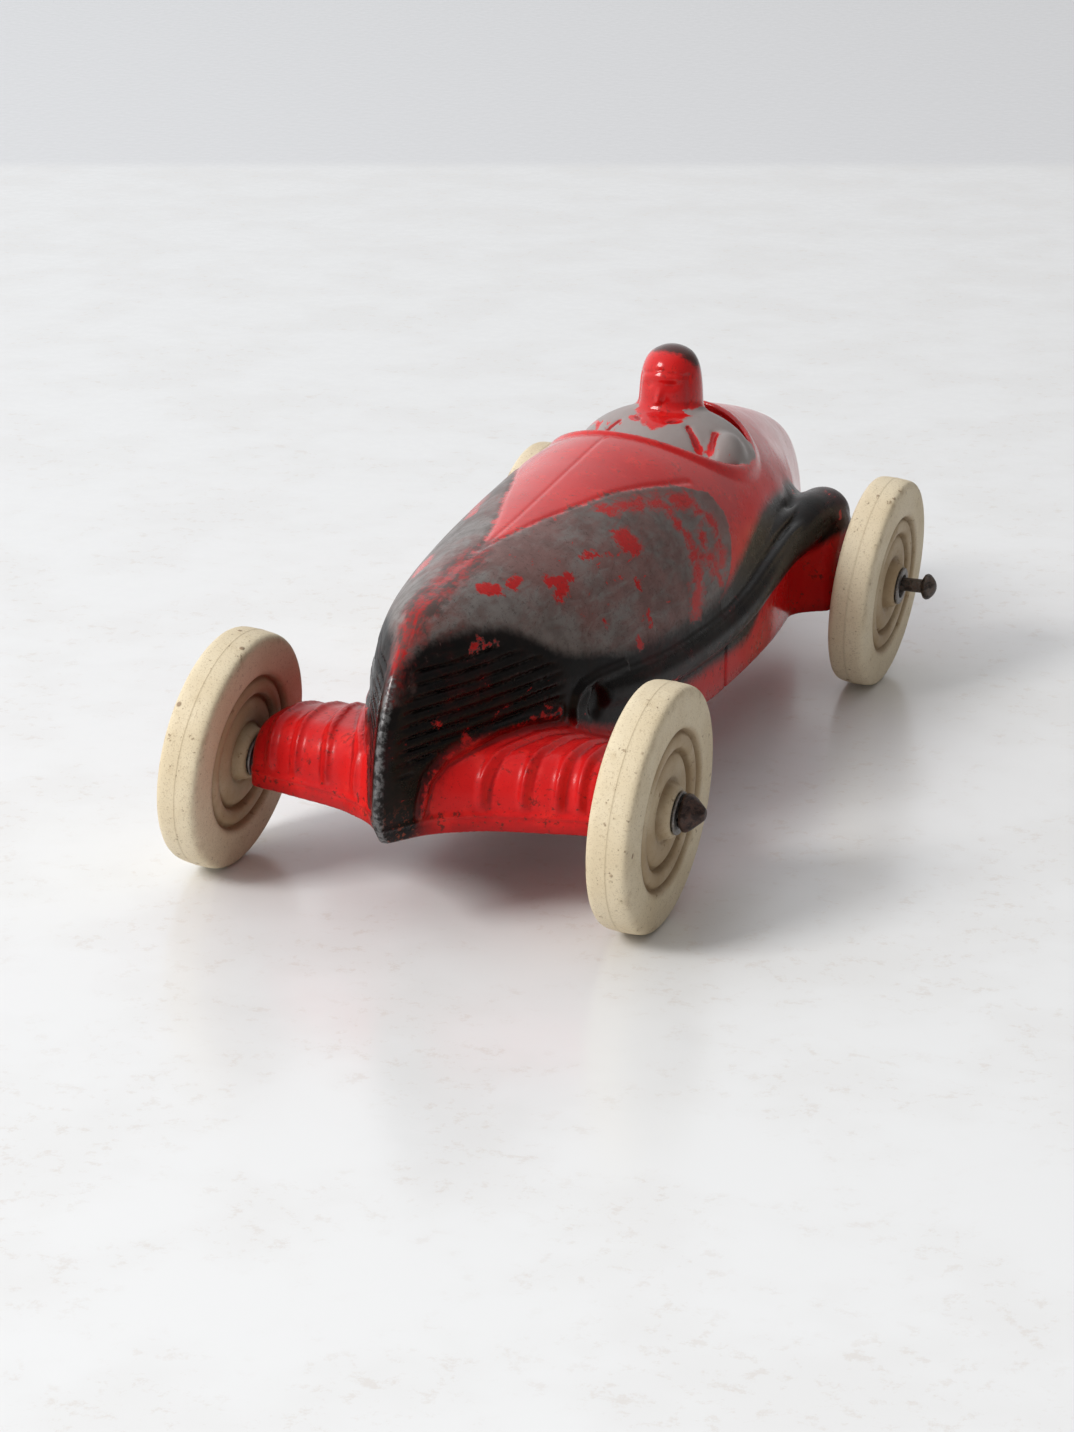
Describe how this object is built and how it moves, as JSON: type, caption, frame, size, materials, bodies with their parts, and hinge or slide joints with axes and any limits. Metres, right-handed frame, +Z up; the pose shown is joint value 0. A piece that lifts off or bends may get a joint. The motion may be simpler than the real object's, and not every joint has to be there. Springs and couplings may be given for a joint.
{
  "type": "toy racing car",
  "caption": "Hollow moulded toy racer with seated driver, side exhausts and ribbed axle fairings, on loose rubber wheels that spin on two sliding axles.",
  "frame": {"origin": "on the ground plane under the middle of the car's outer box", "axes": "+X to the driver's left, +Y from nose to tail, +Z up"},
  "size_m": [0.0754, 0.165, 0.0546],
  "materials": {
    "body_paint": "glossy red with worn silver and black spray",
    "wheel_rubber": "matt ivory, slightly soiled",
    "bush_steel": "dull grey",
    "axle_steel": "dull, lightly rusted",
    "cap_steel": "dark brown, tarnished"
  },
  "bodies": {
    "body": {"body": "body_paint"},
    "front_axle": {"front_axle": "axle_steel", "front_axle_cap": "cap_steel"},
    "rear_axle": {"rear_axle": "axle_steel", "rear_axle_cap": "cap_steel"},
    "wheel_front_left": {"wheel_front_left": "wheel_rubber", "bush_front_left": "bush_steel"},
    "wheel_front_right": {"wheel_front_right": "wheel_rubber", "bush_front_right": "bush_steel"},
    "wheel_rear_left": {"wheel_rear_left": "wheel_rubber", "bush_rear_left": "bush_steel"},
    "wheel_rear_right": {"wheel_rear_right": "wheel_rubber", "bush_rear_right": "bush_steel"}
  },
  "joints": [
    {"name": "front_axle_float", "type": "slide", "parent": "body", "child": "front_axle", "axis": [1, 0, 0], "range_m": [0, 0.0012]},
    {"name": "rear_axle_float", "type": "slide", "parent": "body", "child": "rear_axle", "axis": [1, 0, 0], "range_m": [-0.0027, 0.0014]},
    {"name": "wheel_front_left_spin", "type": "hinge", "parent": "body", "child": "wheel_front_left", "pos_m": [0.02964, -0.06385, 0.01623], "axis": [0.9978, 0, -0.0663], "continuous": true},
    {"name": "wheel_front_right_spin", "type": "hinge", "parent": "body", "child": "wheel_front_right", "pos_m": [-0.02964, -0.06385, 0.01623], "axis": [0.9914, 0, -0.1305], "continuous": true},
    {"name": "wheel_rear_left_spin", "type": "hinge", "parent": "body", "child": "wheel_rear_left", "pos_m": [0.02825, 0.04115, 0.01623], "axis": [0.9959, 0, -0.0906], "continuous": true},
    {"name": "wheel_rear_right_spin", "type": "hinge", "parent": "body", "child": "wheel_rear_right", "pos_m": [-0.02825, 0.04115, 0.01623], "axis": [0.9959, 0, -0.0906], "continuous": true}
  ]
}
